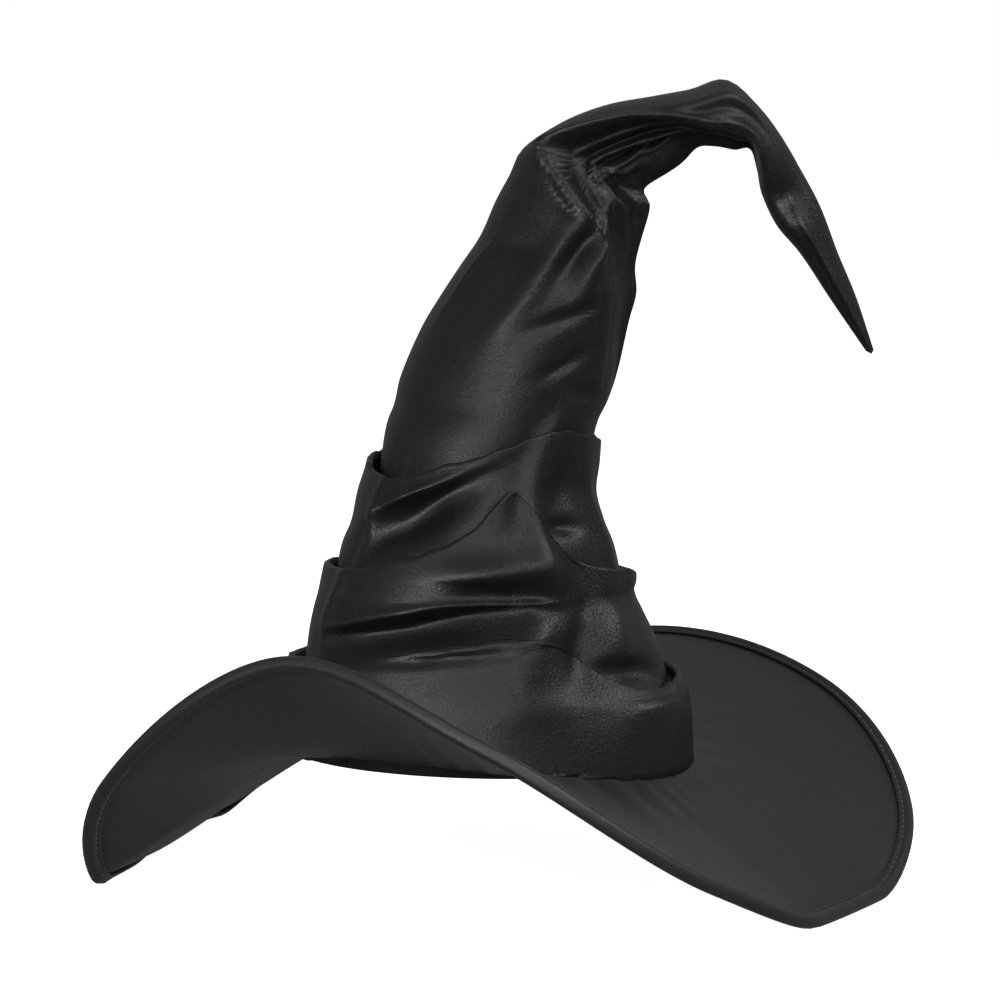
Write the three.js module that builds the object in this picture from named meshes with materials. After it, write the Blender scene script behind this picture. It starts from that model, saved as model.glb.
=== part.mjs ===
// A crooked costume hat of black satin: a tall crown with three tucks and a bent, falling tip,
// and a wide brim of two plies whose edge is bound. Millimetres, +Z up.
// The hat stands on the two drooping ends of its brim, which point along X.

import * as THREE from 'three';

// Head opening
const openingLength = 200;
const openingWidth = 172;
const openingHeight = 60.5;
const openingSaddle = 5.5;

// Brim
const brimWidth = 112.5;
const plyThickness = 1;
const plyGap = 0.3;

// Binding round the brim's edge
const bindingWidth = 8;
const bindingWall = 1.2;
const bindingRound = 1.7;

// Crown
const crownHeight = 320;
const crownReach = 185;
const crownThickness = 1.2;
const crownSeat = 0.6;
const crownTurn = 30;
const tuckDepth = 12;
const tuckFoldGap = 0.7;
const tuckFade = 30;
const seatFade = 60;

// Fit
const clearance = 0.3;
const restSoftness = 1.5;
const restSink = 0.85;

// Facets. The ply rows are shares of the way from the opening to the binding, the two probes
// are the small steps that a surface's slope is measured over, and the mitre limit is the
// least cosine by which a sharp fold's corner is drawn out.
const columns = 48;
const plyRowShares = [0, 0.04, 0.29, 0.56, 0.82];
const tierRows = [4, 4, 4, 22];
const probeAngle = 0.01;
const probeWidth = 1;
const mitreLimit = 0.6;

// Slope of the brim away from the opening, in degrees, for every 30 degrees round from +X
const brimSlopes = [
  { toward: 'right end', slope: -32 },
  { toward: 'right far', slope: -15 },
  { toward: 'far right', slope: 6 },
  { toward: 'far side', slope: 14 },
  { toward: 'far left', slope: 4 },
  { toward: 'left far', slope: -16 },
  { toward: 'left end', slope: -39 },
  { toward: 'left near', slope: -44 },
  { toward: 'near left', slope: -1.5 },
  { toward: 'near side', slope: 32 },
  { toward: 'near right', slope: 15.5 },
  { toward: 'right near', slope: -15.5 },
];

// Sections of the crown's four tiers, from the opening to the tip.
// up is a share of crownHeight, along of crownReach, half of half the opening's length,
// deep of the section's own half width, and lean is in degrees.
const crownSections = [
  { tier: 0, up: -0.03, along: 0, half: 0.965, deep: 0.92, lean: 0 },
  { tier: 0, up: 0.08, along: -0.003, half: 0.945, deep: 0.93, lean: 0 },
  { tier: 0, up: 0.14, along: -0.023, half: 0.907, deep: 0.94, lean: 0 },
  { tier: 0, up: 0.24, along: -0.023, half: 0.87, deep: 0.95, lean: 0 },

  { tier: 1, up: 0.1, along: -0.005, half: 0.88, deep: 0.95, lean: 0 },
  { tier: 1, up: 0.16, along: -0.013, half: 0.838, deep: 0.95, lean: 0 },
  { tier: 1, up: 0.205, along: -0.024, half: 0.79, deep: 0.96, lean: 0 },
  { tier: 1, up: 0.235, along: -0.028, half: 0.757, deep: 0.96, lean: 0 },
  { tier: 1, up: 0.272, along: -0.02, half: 0.747, deep: 0.97, lean: 0 },
  { tier: 1, up: 0.42, along: -0.02, half: 0.64, deep: 1.05, lean: 0 },

  { tier: 2, up: 0.2, along: -0.02, half: 0.71, deep: 0.97, lean: 0 },
  { tier: 2, up: 0.295, along: -0.024, half: 0.659, deep: 1, lean: 0 },
  { tier: 2, up: 0.34, along: -0.024, half: 0.605, deep: 1.05, lean: 0 },
  { tier: 2, up: 0.385, along: -0.026, half: 0.571, deep: 1.08, lean: 0 },
  { tier: 2, up: 0.43, along: -0.01, half: 0.557, deep: 1.08, lean: 0 },
  { tier: 2, up: 0.5, along: 0.004, half: 0.545, deep: 1.08, lean: 0 },

  { tier: 3, up: 0.38, along: -0.008, half: 0.51, deep: 1.05, lean: 0 },
  { tier: 3, up: 0.475, along: 0.011, half: 0.506, deep: 1.04, lean: 0 },
  { tier: 3, up: 0.519, along: 0.038, half: 0.511, deep: 1, lean: 1 },
  { tier: 3, up: 0.564, along: 0.059, half: 0.518, deep: 0.96, lean: 2 },
  { tier: 3, up: 0.631, along: 0.097, half: 0.495, deep: 0.96, lean: 2 },
  { tier: 3, up: 0.676, along: 0.131, half: 0.467, deep: 0.98, lean: 1 },
  { tier: 3, up: 0.72, along: 0.156, half: 0.415, deep: 1.02, lean: 0 },
  { tier: 3, up: 0.764, along: 0.191, half: 0.385, deep: 1.03, lean: 0 },
  { tier: 3, up: 0.808, along: 0.222, half: 0.375, deep: 1, lean: -2 },
  { tier: 3, up: 0.834, along: 0.242, half: 0.347, deep: 1, lean: -10 },
  { tier: 3, up: 0.862, along: 0.256, half: 0.317, deep: 1.05, lean: -18 },
  { tier: 3, up: 0.894, along: 0.33, half: 0.28, deep: 1.2, lean: -25 },
  { tier: 3, up: 0.915, along: 0.405, half: 0.225, deep: 1.5, lean: -36 },
  { tier: 3, up: 0.931, along: 0.48, half: 0.162, deep: 2, lean: -48 },
  { tier: 3, up: 0.937, along: 0.546, half: 0.144, deep: 2.2, lean: -68 },
  { tier: 3, up: 0.9415, along: 0.62, half: 0.167, deep: 1.7, lean: -82 },
  { tier: 3, up: 0.924, along: 0.68, half: 0.106, deep: 2, lean: -98 },
  { tier: 3, up: 0.888, along: 0.718, half: 0.099, deep: 2, lean: -122 },
  { tier: 3, up: 0.845, along: 0.75, half: 0.11, deep: 1.6, lean: -142 },
  { tier: 3, up: 0.795, along: 0.795, half: 0.113, deep: 1.35, lean: -153 },
  { tier: 3, up: 0.738, along: 0.851, half: 0.085, deep: 1.3, lean: -172 },
  { tier: 3, up: 0.67, along: 0.915, half: 0.06, deep: 1.2, lean: -172 },
  { tier: 3, up: 0.588, along: 0.988, half: 0.016, deep: 1.1, lean: -172 },
];

// Height of each tuck's folded edge at six places round the crown, as shares of crownHeight
const tuckLines = [
  { right: 0.125, farRight: 0.13, farLeft: 0.135, left: 0.138, nearLeft: 0.16, nearRight: 0.185 },
  { right: 0.264, farRight: 0.268, farLeft: 0.272, left: 0.275, nearLeft: 0.302, nearRight: 0.345 },
  { right: 0.464, farRight: 0.455, farLeft: 0.445, left: 0.436, nearLeft: 0.44, nearRight: 0.481 },
];

// Dents and folds pressed into the crown. at is a share of crownHeight measured along the
// crown's middle, around is in degrees from the bend's side, long is a share of crownHeight,
// wide is in degrees, out is a share of half the opening's length, and slant is the turn in
// degrees over the fold's own length.
const crownFolds = [
  { name: 'front ridge, low', at: 0.12, around: 282, long: 0.1, wide: 16, out: 0.05, slant: 0 },
  { name: 'front ridge, middle', at: 0.36, around: 284, long: 0.1, wide: 14, out: 0.06, slant: 4 },
  { name: 'front ridge, high', at: 0.58, around: 278, long: 0.16, wide: 16, out: 0.05, slant: 6 },
  { name: 'crescent, middle tuck', at: 0.235, around: 238, long: 0.03, wide: 26, out: -0.09, slant: 30 },
  { name: 'swell over the crescent', at: 0.285, around: 268, long: 0.025, wide: 20, out: 0.06, slant: 0 },
  { name: 'slit over the low tuck', at: 0.205, around: 250, long: 0.015, wide: 20, out: -0.05, slant: 16 },
  { name: 'hollow under the high tuck', at: 0.39, around: 236, long: 0.035, wide: 24, out: -0.1, slant: 22 },
  { name: 'hollow right of the ridge', at: 0.36, around: 306, long: 0.05, wide: 12, out: -0.06, slant: 0 },
  { name: 'pocket by the right end', at: 0.16, around: 318, long: 0.035, wide: 18, out: -0.08, slant: -14 },
  { name: 'swell at the right end', at: 0.08, around: 330, long: 0.05, wide: 16, out: 0.04, slant: 0 },
  { name: 'crease at the bend side', at: 0.66, around: 325, long: 0.1, wide: 14, out: -0.06, slant: 8 },
  { name: 'bend mouth, far half', at: 0.875, around: 20, long: 0.05, wide: 30, out: -0.06, slant: 0 },
  { name: 'bend mouth, near half', at: 0.885, around: 300, long: 0.045, wide: 34, out: -0.16, slant: 10 },
  { name: 'lip over the mouth', at: 1.01, around: 292, long: 0.13, wide: 24, out: 0.05, slant: 0 },
  { name: 'groove over the lip', at: 1.04, around: 252, long: 0.12, wide: 14, out: -0.05, slant: 0 },
  { name: 'pinch at the arch end', at: 1.27, around: 280, long: 0.03, wide: 40, out: -0.06, slant: 0 },
  { name: 'ridge down the tip', at: 1.42, around: 272, long: 0.12, wide: 24, out: 0.035, slant: 0 },
];

const radians = THREE.MathUtils.degToRad;
const turn = radians(crownTurn);

// Angle of a column of facets round the opening
function columnAngle(column) {
  return turn + (column * 2 * Math.PI) / columns;
}

// Cubic value at a share of the way from b to c, with a before b and d after c
function cubic(a, b, c, d, share) {
  const rise = c - a;
  const bend = 2 * a - 5 * b + 4 * c - d;
  const twist = 3 * b - a - 3 * c + d;
  return 0.5 * (2 * b + rise * share + bend * share ** 2 + twist * share ** 3);
}

// Smooth closed run through values spaced evenly round a full turn
function aroundValue(values, angle) {
  const count = values.length;
  const full = 2 * Math.PI;
  const place = ((((angle % full) + full) % full) / full) * count;
  const index = Math.floor(place);
  const pick = (offset) => values[(index + offset + count) % count];
  return cubic(pick(-1), pick(0), pick(1), pick(2), place - index);
}

function smoothStep(share) {
  return THREE.MathUtils.smoothstep(share, 0, 1);
}

// Brim

function ringPoint(angle) {
  const x = (openingLength / 2) * Math.cos(angle);
  const y = (openingWidth / 2) * Math.sin(angle);
  return new THREE.Vector3(x, y, openingHeight - openingSaddle * Math.cos(2 * angle));
}

function ringOutward(angle) {
  const x = Math.cos(angle) / openingLength;
  const y = Math.sin(angle) / openingWidth;
  return new THREE.Vector3(x, y, 0).normalize();
}

const slopeValues = brimSlopes.map((row) => radians(row.slope));

// Point of the brim's middle surface before the surface it rests on presses it flat
function freeBrimPoint(angle, across) {
  const slope = aroundValue(slopeValues, angle);
  const point = ringPoint(angle).addScaledVector(ringOutward(angle), across * Math.cos(slope));
  point.z += across * Math.sin(slope);
  return point;
}

const bindingLift = plyGap / 2 + plyThickness + clearance + bindingWall;

// A height that levels out softly at zero, as cloth does on the surface it rests on
function settled(height) {
  return restSoftness * Math.log(1 + Math.exp(height / restSoftness));
}

// Middle surface of the brim, lifted so that its ends lie on the floor and not below it
function brimMiddle(angle, across) {
  const point = freeBrimPoint(angle, across);
  const rimHeight = freeBrimPoint(angle, brimWidth).z - bindingLift;
  const rimSlope = aroundValue(slopeValues, angle) + (2 * (settled(rimHeight) - rimHeight)) / brimWidth;
  const underside = bindingLift * Math.cos(rimSlope) + bindingRound * Math.min(Math.sin(rimSlope), 0);
  const lowest = rimHeight + bindingLift - underside;
  point.z += (across / brimWidth) ** 2 * (settled(lowest) - restSink - lowest);
  return point;
}

// Point at a lift off the brim's middle surface, square to it
function brimPoint(angle, across, lift) {
  const ahead = brimMiddle(angle + probeAngle, across);
  const behind = brimMiddle(angle - probeAngle, across);
  const outer = brimMiddle(angle, across + probeWidth);
  const inner = brimMiddle(angle, across - probeWidth);
  const normal = outer.sub(inner).cross(ahead.sub(behind)).normalize();
  return brimMiddle(angle, across).addScaledVector(normal, lift);
}

function distanceOut(point) {
  return Math.hypot(point.x, point.y);
}

function brimRow(across, lift) {
  return Array.from({ length: columns }, (unused, column) => brimPoint(columnAngle(column), across, lift));
}

// Closed ring between a lower and an upper lift, with rows of facets across the brim
function brimRing(acrossRows, low, high) {
  const under = acrossRows.map((across) => brimRow(across, low));
  const top = acrossRows.map((across) => brimRow(across, high)).reverse();
  return skin([...under, ...top], distanceOut, true);
}

const bindingStart = brimWidth - bindingWidth;
const plyEnd = brimWidth - bindingWall - bindingRound - clearance;
const plyRows = [...plyRowShares.map((share) => share * bindingStart), bindingStart, plyEnd];

function brimTop() {
  return brimRing(plyRows, plyGap / 2, plyGap / 2 + plyThickness);
}

function brimUnder() {
  return brimRing(plyRows, -plyGap / 2 - plyThickness, -plyGap / 2);
}

// Folded binding: a U whose two legs hold the edges of the plies between them
function edgeBinding() {
  const slot = bindingLift - bindingWall;
  const slotEnd = plyEnd + clearance;
  const shoulder = brimWidth - bindingRound;
  const outline = [
    { across: bindingStart, lift: -bindingLift },
    { across: brimWidth - bindingWidth / 2, lift: -bindingLift },
    { across: shoulder, lift: -bindingLift },
    { across: brimWidth, lift: bindingRound - bindingLift },
    { across: brimWidth, lift: bindingLift - bindingRound },
    { across: shoulder, lift: bindingLift },
    { across: bindingStart, lift: bindingLift },
    { across: bindingStart, lift: slot },
    { across: slotEnd, lift: slot },
    { across: slotEnd, lift: -slot },
    { across: bindingStart, lift: -slot },
  ];
  const rows = outline.map((corner) => brimRow(corner.across, corner.lift));
  rows.flat().forEach((point) => {
    point.z = Math.max(point.z, 0);
  });
  return skin(rows, distanceOut, true);
}

// Crown

// Sections of one tier with each one's distance along the crown's middle
function tierSections(tier) {
  let place = 0;
  let before = null;
  return crownSections
    .filter((row) => row.tier === tier)
    .map((row) => {
      const along = row.along * crownReach;
      const up = row.up * crownHeight;
      const half = (row.half * openingLength) / 2;
      place = before ? place + Math.hypot(along - before.along, up - before.up) : up;
      before = { place, along, up, half, deep: half * row.deep, lean: radians(row.lean) };
      return before;
    });
}

const tiers = tierRows.map((unused, tier) => tierSections(tier));
const tuckHeights = tuckLines.map((line) =>
  [line.right, line.farRight, line.farLeft, line.left, line.nearLeft, line.nearRight].map(
    (share) => share * crownHeight,
  ),
);

// One section's sizes at a place along a tier
function sectionAt(tier, place) {
  const rows = tiers[tier];
  const last = rows.length - 2;
  const found = rows.findIndex((row) => row.place > place) - 1;
  const index = found < -1 ? last : Math.max(found, 0);
  const pick = (offset) => rows[THREE.MathUtils.clamp(index + offset, 0, rows.length - 1)];
  const share = (place - rows[index].place) / (rows[index + 1].place - rows[index].place);
  const value = (name) => cubic(pick(-1)[name], pick(0)[name], pick(1)[name], pick(2)[name], share);
  return {
    along: value('along'),
    up: value('up'),
    half: value('half'),
    deep: value('deep'),
    lean: value('lean'),
  };
}

// How far the folds and dents push the cloth out at a place
function foldPush(angle, place) {
  const share = place / crownHeight;
  const degrees = THREE.MathUtils.radToDeg(angle);
  return crownFolds.reduce((push, fold) => {
    const up = (share - fold.at) / fold.long;
    const turned = degrees - fold.around - fold.slant * up;
    const round = (turned - 360 * Math.round(turned / 360)) / fold.wide;
    return push + ((fold.out * openingLength) / 2) * Math.exp(-(up ** 2) - round ** 2);
  }, 0);
}

const tuckLayer = crownThickness + tuckFoldGap;

function sectionPoint(section, angle) {
  const across = section.half * Math.cos(angle);
  const away = section.deep * Math.sin(angle);
  const along = section.along + across * Math.cos(section.lean);
  const up = openingHeight + section.up + across * Math.sin(section.lean);
  return new THREE.Vector3(
    along * Math.cos(turn) - away * Math.sin(turn),
    along * Math.sin(turn) + away * Math.cos(turn),
    up,
  );
}

function sectionCentre(section) {
  return sectionPoint({ ...section, half: 0, deep: 0 }, 0);
}

// Extra push inwards where a tier starts inside the one below, so that the tuck's layers clear
function tuckPush(tier, angle, place) {
  if (tier === 0) {
    return 0;
  }
  const edge = aroundValue(tuckHeights[tier - 1], angle);
  const outer = sectionPoint(sectionAt(tier - 1, edge), angle);
  const innerSection = sectionAt(tier, edge);
  const inner = sectionPoint(innerSection, angle);
  const centre = sectionCentre(innerSection);
  const step = outer.distanceTo(centre) - inner.distanceTo(centre);
  const needed = Math.max(0, 2 * tuckLayer - step);
  return needed * (1 - smoothStep((place - edge) / tuckFade));
}

// Point of the crown's middle surface on a tier
function tierPoint(tier, column, place) {
  const ring = columnAngle(column);
  const angle = ring - turn;
  const section = sectionAt(tier, place);
  const point = sectionPoint(section, angle);
  const outward = point.clone().sub(sectionCentre(section)).normalize();
  const push = foldPush(angle, place) - tuckPush(tier, angle, place);
  point.addScaledVector(outward, push * smoothStep(place / tuckFade));
  const seat = ringPoint(ring).addScaledVector(ringOutward(ring), crownSeat + crownThickness / 2);
  seat.z = point.z;
  return tier === 0 ? seat.lerp(point, smoothStep(place / seatFade)) : point;
}

// Places up one column of one tier, from inside the tuck below to the edge of the tuck above
function tierPlaces(tier, column) {
  const angle = columnAngle(column) - turn;
  const start = tier === 0 ? 0 : aroundValue(tuckHeights[tier - 1], angle) - tuckDepth;
  const end = tier < tuckHeights.length ? aroundValue(tuckHeights[tier], angle) : tiers[tier].at(-1).place;
  const count = tierRows[tier];
  return Array.from({ length: count + 1 }, (unused, row) => start + ((end - start) * row) / count);
}

// One column of the crown's middle surface from the opening to the tip, tucks included
function crownColumn(column) {
  return tiers.flatMap((sections, tier) => {
    const places = tierPlaces(tier, column);
    const points = places.map((place) => tierPoint(tier, column, place));
    if (tier === tuckHeights.length) {
      return points;
    }
    const folded = [places.at(-1), places.at(-1) - tuckDepth].map((place) =>
      tierPoint(tier, column, place).lerp(tierPoint(tier + 1, column, place), 0.5),
    );
    return [...points, ...folded];
  });
}

// Offset of the cloth's two faces from its middle surface at one point, squared at the folds
function faceOffset(rows, row, column) {
  const here = rows[row][column];
  const before = rows[row][(column + columns - 1) % columns];
  const around = rows[row][(column + 1) % columns].clone().sub(before);
  const normals = [];
  if (row > 0) {
    normals.push(around.clone().cross(here.clone().sub(rows[row - 1][column])).normalize());
  }
  if (row < rows.length - 1) {
    normals.push(around.clone().cross(rows[row + 1][column].clone().sub(here)).normalize());
  }
  const middle = normals.reduce((sum, normal) => sum.add(normal), new THREE.Vector3()).normalize();
  return middle.multiplyScalar(crownThickness / 2 / Math.max(middle.dot(normals[0]), mitreLimit));
}

// Rows of points moved along their offsets, outwards for side 1 and inwards for side -1
function offsetRows(rows, offsets, side) {
  return rows.map((points, row) =>
    points.map((point, column) => point.clone().addScaledVector(offsets[row][column], side)),
  );
}

function crown() {
  const byColumn = Array.from({ length: columns }, (unused, column) => crownColumn(column));
  const rows = byColumn[0].map((unused, row) => byColumn.map((points) => points[row]));
  const offsets = rows.map((points, row) => points.map((point, column) => faceOffset(rows, row, column)));
  const outer = offsetRows(rows, offsets, 1);
  const inner = offsetRows(rows, offsets, -1);
  const seatLift = plyGap / 2 + plyThickness + clearance;
  inner[0] = brimRow(crownSeat, seatLift);
  outer[0] = brimRow(crownSeat + crownThickness, seatLift);
  const tip = centreOf(outer.at(-1));
  const innerTip = centreOf(inner.at(-2));
  return skin([...inner.slice(0, -1).reverse(), ...outer], (point) => point.z, false, innerTip, tip);
}

// Meshes

function centreOf(points) {
  return points.reduce((sum, point) => sum.add(point), new THREE.Vector3()).divideScalar(points.length);
}

// Closed surface through rows of points, either joined end to start or capped at both ends.
// level ranks the points, so that two surfaces that face each other over a gap are cut alike.
function skin(rows, level, joined, startCap, endCap) {
  const points = rows.flat();
  const index = [];
  const vertex = (row, column) => (row % rows.length) * columns + (column % columns);
  const bands = joined ? rows.length : rows.length - 1;
  for (let row = 0; row < bands; row += 1) {
    for (let column = 0; column < columns; column += 1) {
      const a = vertex(row, column);
      const b = vertex(row, column + 1);
      const c = vertex(row + 1, column + 1);
      const d = vertex(row + 1, column);
      const falling = level(points[a]) > level(points[d]);
      index.push(...(falling ? [a, b, c, a, c, d] : [a, b, d, b, c, d]));
    }
  }
  if (!joined) {
    points.push(startCap, endCap);
    for (let column = 0; column < columns; column += 1) {
      index.push(points.length - 2, vertex(0, column + 1), vertex(0, column));
      index.push(points.length - 1, vertex(rows.length - 1, column), vertex(rows.length - 1, column + 1));
    }
  }
  const geometry = new THREE.BufferGeometry().setFromPoints(points);
  geometry.setIndex(index);
  geometry.computeVertexNormals();
  return geometry;
}

function satin(color, roughness) {
  return new THREE.MeshStandardMaterial({ color, roughness, metalness: 0, side: THREE.DoubleSide });
}

function piece(name, geometry, material) {
  const mesh = new THREE.Mesh(geometry, material);
  mesh.name = name;
  return mesh;
}

const hat = new THREE.Group();
hat.name = 'costume_hat';
hat.add(piece('crown', crown(), satin(0x17171a, 0.38)));
hat.add(piece('brim_top', brimTop(), satin(0x1b1b1e, 0.55)));
hat.add(piece('brim_under', brimUnder(), satin(0x17171a, 0.55)));
hat.add(piece('edge_binding', edgeBinding(), satin(0x202024, 0.5)));

// The middle of the hat's outline in plan is over the origin
const outline = new THREE.Box3().setFromObject(hat);
const middle = outline.getCenter(new THREE.Vector3());
hat.position.set(-middle.x, -middle.y, 0);

export default hat;
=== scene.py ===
"""Looks of a crooked black satin costume hat: crown, two brim plies, stitched binding, and the studio."""

import logging
import math
from dataclasses import dataclass
from enum import Enum

import bmesh
import bpy
import numpy as np
from mathutils import Matrix, Vector


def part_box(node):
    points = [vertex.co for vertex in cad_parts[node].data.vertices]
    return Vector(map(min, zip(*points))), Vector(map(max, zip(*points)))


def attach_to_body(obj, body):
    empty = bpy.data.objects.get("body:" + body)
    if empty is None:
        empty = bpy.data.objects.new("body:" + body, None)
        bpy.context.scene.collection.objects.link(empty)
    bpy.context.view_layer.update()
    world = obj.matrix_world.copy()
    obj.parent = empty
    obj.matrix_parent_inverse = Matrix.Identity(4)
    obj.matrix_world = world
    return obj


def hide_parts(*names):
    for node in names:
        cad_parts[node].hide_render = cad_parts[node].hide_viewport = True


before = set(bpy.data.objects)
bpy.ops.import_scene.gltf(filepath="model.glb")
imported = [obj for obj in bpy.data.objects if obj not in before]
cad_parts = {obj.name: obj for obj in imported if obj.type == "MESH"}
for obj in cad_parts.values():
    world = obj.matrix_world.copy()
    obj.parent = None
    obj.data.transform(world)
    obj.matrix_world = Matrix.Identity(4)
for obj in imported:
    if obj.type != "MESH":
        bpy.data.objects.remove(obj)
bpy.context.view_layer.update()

LOG = logging.getLogger("costume_hat")
MM = 0.001
TURN = math.radians(30.0)


class Face(Enum):
    """The two faces of the brim."""

    TOP = 1
    UNDER = -1


@dataclass(frozen=True)
class SatinFinish:
    """One satin cloth: how dark, how glossy and how grainy it is."""

    name: str
    dark: float
    light: float
    gloss_low: float
    gloss_high: float
    sheen: float
    grain_mm: float
    grain_scale: float
    ripple_mm: float
    ripple_scale: float
    weave_scale: float
    specular: float = 0.36
    sheen_roughness: float = 0.35
    patch_scale: float = 14.0
    blue_in_dark: float = 1.12
    blue_in_light: float = 1.15
    grain_low: float = 0.3
    grain_high: float = 0.7
    weave_sway: float = 1.5
    weave_share: float = 0.5

    def material(self) -> bpy.types.Material:
        """Build the procedural satin.

        Returns:
            A material whose tone, gloss, weave, grain and soft ripple follow the object.
        """
        made = bpy.data.materials.new(self.name)
        made.use_nodes = True
        nodes, links = made.node_tree.nodes, made.node_tree.links
        shader = nodes["Principled BSDF"]
        shader.inputs["Sheen Weight"].default_value = self.sheen
        shader.inputs["Sheen Roughness"].default_value = self.sheen_roughness
        shader.inputs["Specular IOR Level"].default_value = self.specular
        place = nodes.new("ShaderNodeTexCoord")

        def noise(scale: float, detail: float) -> bpy.types.Node:
            """Add a noise texture on object coordinates.

            Args:
                scale: Repeats in a metre.
                detail: Octaves of the noise.

            Returns:
                The new node.
            """
            node = nodes.new("ShaderNodeTexNoise")
            node.inputs["Scale"].default_value = scale
            node.inputs["Detail"].default_value = detail
            links.new(place.outputs["Object"], node.inputs["Vector"])
            return node

        grain = noise(self.grain_scale, detail=2.0)
        ripple = noise(self.ripple_scale, detail=3.0)
        patches = noise(self.patch_scale, detail=4.0)
        tone = nodes.new("ShaderNodeMix")
        tone.data_type = "RGBA"
        tone.inputs["A"].default_value = (self.dark, self.dark, self.dark * self.blue_in_dark, 1.0)
        tone.inputs["B"].default_value = (self.light, self.light, self.light * self.blue_in_light, 1.0)
        links.new(patches.outputs["Fac"], tone.inputs["Factor"])
        links.new(tone.outputs["Result"], shader.inputs["Base Color"])
        gloss = nodes.new("ShaderNodeMapRange")
        gloss.inputs["From Min"].default_value = self.grain_low
        gloss.inputs["From Max"].default_value = self.grain_high
        gloss.inputs["To Min"].default_value = self.gloss_low
        gloss.inputs["To Max"].default_value = self.gloss_high
        links.new(grain.outputs["Fac"], gloss.inputs["Value"])
        links.new(gloss.outputs["Result"], shader.inputs["Roughness"])
        weave = nodes.new("ShaderNodeTexWave")
        weave.wave_type = "BANDS"
        weave.bands_direction = "DIAGONAL"
        weave.inputs["Scale"].default_value = self.weave_scale
        weave.inputs["Distortion"].default_value = self.weave_sway
        links.new(place.outputs["Object"], weave.inputs["Vector"])
        normal = None
        for source, depth in (
            (ripple.outputs["Fac"], self.ripple_mm),
            (weave.outputs["Fac"], self.grain_mm * self.weave_share),
            (grain.outputs["Fac"], self.grain_mm),
        ):
            bump = nodes.new("ShaderNodeBump")
            bump.inputs["Strength"].default_value = 1.0
            bump.inputs["Distance"].default_value = depth * MM
            links.new(source, bump.inputs["Height"])
            if normal is not None:
                links.new(normal, bump.inputs["Normal"])
            normal = bump.outputs["Normal"]
        links.new(normal, shader.inputs["Normal"])
        return made


CROWN_SATIN = SatinFinish(
    "crown satin", dark=0.0015, light=0.004, gloss_low=0.3, gloss_high=0.5, sheen=0.0,
    grain_mm=0.3, grain_scale=900.0, ripple_mm=0.9, ripple_scale=34.0, weave_scale=900.0,
)
BRIM_SATIN = SatinFinish(
    "brim satin", dark=0.003, light=0.007, gloss_low=0.42, gloss_high=0.58, sheen=0.03,
    grain_mm=0.18, grain_scale=1000.0, ripple_mm=0.5, ripple_scale=24.0, weave_scale=900.0,
)
BINDING_SATIN = SatinFinish(
    "binding satin", dark=0.003, light=0.006, gloss_low=0.42, gloss_high=0.56, sheen=0.03,
    grain_mm=0.16, grain_scale=1000.0, ripple_mm=0.3, ripple_scale=110.0, weave_scale=900.0,
)
THREAD = SatinFinish(
    "binding thread", dark=0.008, light=0.02, gloss_low=0.5, gloss_high=0.65, sheen=0.2,
    grain_mm=0.04, grain_scale=4000.0, ripple_mm=0.02, ripple_scale=500.0, weave_scale=2500.0,
)


def cubic(a: np.ndarray, b: np.ndarray, c: np.ndarray, d: np.ndarray, share: np.ndarray) -> np.ndarray:
    """Smooth value between b and c.

    Args:
        a: Value before b.
        b: Value at share 0.
        c: Value at share 1.
        d: Value after c.
        share: How far between b and c.

    Returns:
        The value on a smooth run through all four.
    """
    bend = 2 * a - 5 * b + 4 * c - d
    twist = 3 * b - a - 3 * c + d
    return 0.5 * (2 * b + (c - a) * share + bend * share**2 + twist * share**3)


def smooth_step(share: np.ndarray) -> np.ndarray:
    """Ease from 0 to 1.

    Args:
        share: Any value, held between 0 and 1.

    Returns:
        The eased share.
    """
    held = np.clip(share, 0.0, 1.0)
    return held * held * (3 - 2 * held)


def bell(degrees: np.ndarray, centre: float, wide: float) -> np.ndarray:
    """Bell curve round a turn.

    Args:
        degrees: Angles, in degrees.
        centre: Angle of the peak.
        wide: Reach of the bell, in degrees.

    Returns:
        A value from 0 to 1 at each angle.
    """
    apart = (degrees - centre + 180.0) % 360.0 - 180.0
    return np.exp(-((apart / wide) ** 2))


def cloth(name: str, points: np.ndarray, outward: Vector, joined_across: bool = False) -> bpy.types.Object:
    """Lay a grid of cloth over rows of points that run right round the hat.

    Args:
        name: Name of the piece.
        points: Places by row and column, in metres, the columns going once round.
        outward: Direction that the first row's first face looks in.
        joined_across: True where the last row meets the first one.

    Returns:
        The new object, in the scene.
    """
    closed = np.concatenate([points, points[:, :1]], axis=1)
    if joined_across:
        closed = np.concatenate([closed, closed[:1]], axis=0)
    rows, columns = closed.shape[:2]
    grid = bmesh.new()
    bmesh.ops.create_grid(grid, x_segments=columns - 1, y_segments=rows - 1, size=1.0, calc_uvs=True)
    grid.verts.ensure_lookup_table()
    for vert, place in zip(grid.verts, closed.reshape(-1, 3)):
        vert.co = place
    grid.normal_update()
    grid.faces.ensure_lookup_table()
    if grid.faces[0].normal.dot(outward) < 0:
        bmesh.ops.reverse_faces(grid, faces=grid.faces)
    bmesh.ops.remove_doubles(grid, verts=grid.verts, dist=1e-6)
    return finished(name, grid)


def finished(name: str, shape: bmesh.types.BMesh) -> bpy.types.Object:
    """Turn a bmesh into a smooth-shaded object at the origin.

    Args:
        name: Name of the piece.
        shape: The mesh, which is freed.

    Returns:
        The new object, in the scene.
    """
    mesh = bpy.data.meshes.new(name)
    for face in shape.faces:
        face.smooth = True
    shape.to_mesh(mesh)
    shape.free()
    made = bpy.data.objects.new(name, mesh)
    bpy.context.scene.collection.objects.link(made)
    return made


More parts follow.
